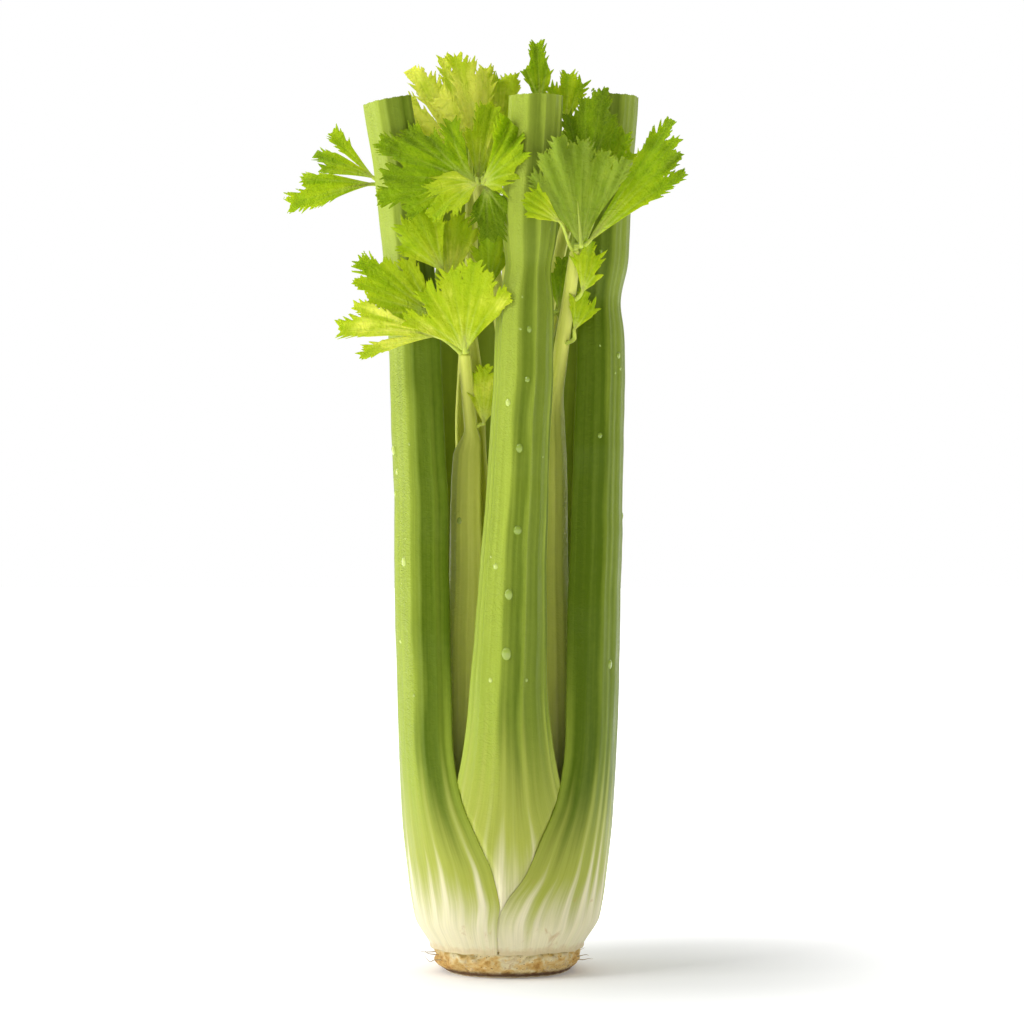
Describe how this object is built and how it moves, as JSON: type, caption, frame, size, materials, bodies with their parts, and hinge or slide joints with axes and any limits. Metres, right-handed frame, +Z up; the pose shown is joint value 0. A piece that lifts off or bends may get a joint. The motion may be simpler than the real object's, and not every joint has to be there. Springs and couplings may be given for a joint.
{
  "type": "head of celery",
  "caption": "Upright head of celery: overlapping ribbed stalks around a leafy heart on a flat trimmed root crown, tops cut square, serrated leaves.",
  "frame": {"origin": "centre of the flat cut under the root crown, on the surface that the head stands on", "axes": "+Z up along the head, from the cut crown to the leaf tips; -Y is the front, where the front outer stalk stands between the left and right ones; +X is to the right of someone who looks at the front"},
  "size_m": [0.1444, 0.0959, 0.3361],
  "materials": {
    "crown": "rough, dry cut root with brown corky spots",
    "outer_stalk": "waxy, ribbed, moist, pale at the base",
    "inner_stalk": "waxy, ribbed, pale yellow-green",
    "leaf": "soft satin, veined, serrated edge"
  },
  "bodies": {
    "root": {"leaf_back_a": "leaf", "leaf_back_b": "leaf", "leaf_back_left_a": "leaf", "leaf_back_left_b": "leaf", "leaf_back_left_c": "leaf", "leaf_back_left_d": "leaf", "leaf_front_droop": "leaf", "leaf_front_left_wide": "leaf", "leaf_front_low": "leaf", "leaf_front_right": "leaf", "leaf_front_upright": "leaf", "leaf_heart_left_a": "leaf", "leaf_heart_left_b": "leaf", "leaf_heart_left_c": "leaf", "leaf_heart_right": "leaf", "leaf_left_curled": "leaf", "leaf_left_fan": "leaf", "leaf_left_long": "leaf", "leaf_left_upper": "leaf", "leaf_right_blade": "leaf", "leaf_right_dark": "leaf", "leaf_right_fan": "leaf", "leaf_right_low_a": "leaf", "leaf_right_low_b": "leaf", "leaf_right_small": "leaf", "leaf_right_top": "leaf", "leaf_side_lower": "leaf", "leaf_side_upper": "leaf", "leaf_top_middle": "leaf", "leaf_top_point": "leaf", "root_crown": "crown", "stalk_heart_back": "inner_stalk", "stalk_heart_left": "inner_stalk", "stalk_heart_right": "inner_stalk", "stalk_middle_back_left": "inner_stalk", "stalk_middle_back_right": "inner_stalk", "stalk_middle_front": "inner_stalk", "stalk_middle_left": "inner_stalk", "stalk_middle_right": "inner_stalk", "stalk_outer_back_left": "outer_stalk", "stalk_outer_back_right": "outer_stalk", "stalk_outer_front": "outer_stalk", "stalk_outer_left": "outer_stalk", "stalk_outer_right": "outer_stalk"}
  },
  "joints": []
}
